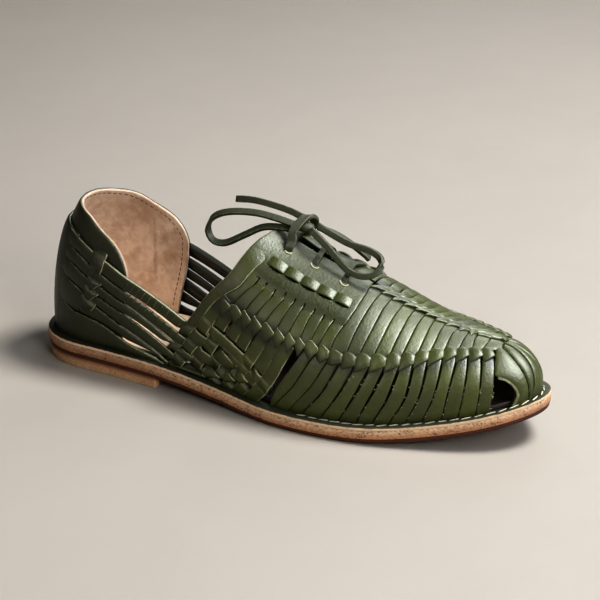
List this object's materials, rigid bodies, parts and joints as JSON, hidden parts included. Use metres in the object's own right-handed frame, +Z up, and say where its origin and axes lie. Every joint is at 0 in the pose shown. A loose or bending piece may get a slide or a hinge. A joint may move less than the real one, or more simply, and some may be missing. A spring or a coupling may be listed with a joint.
{
  "type": "woven lace-up shoe",
  "caption": "Low right shoe with a woven leather upper, open waist, cut toe openings and a short laced throat, on a thin layered leather sole with a low heel.",
  "frame": {"origin": "middle of the shoe's base on the floor, loose lace left out", "axes": "+X from heel to toe, +Y to the medial side, +Z up"},
  "size_m": [0.288, 0.0958, 0.1029],
  "materials": {
    "green_leather": "satin smooth leather",
    "green_rim": "satin leather, cut edge",
    "green_lace": "matt leather lace",
    "tan_edge": "cut leather edge, matt",
    "brown_outsole": "matt dark leather",
    "tan_lining": "soft unfinished leather"
  },
  "bodies": {
    "root": {"heel": "tan_edge", "outsole": "brown_outsole", "midsole": "tan_edge", "welt": "green_rim", "insole": "tan_lining", "upper": "green_leather", "lace_bar_1": "green_lace", "lace_bar_2": "green_lace", "lace_bar_3": "green_lace", "lace_knot": "green_lace", "lace_loop_rear": "green_lace", "lace_loop_front": "green_lace", "lace_end_rear": "green_lace", "lace_end_front": "green_lace"}
  },
  "joints": []
}
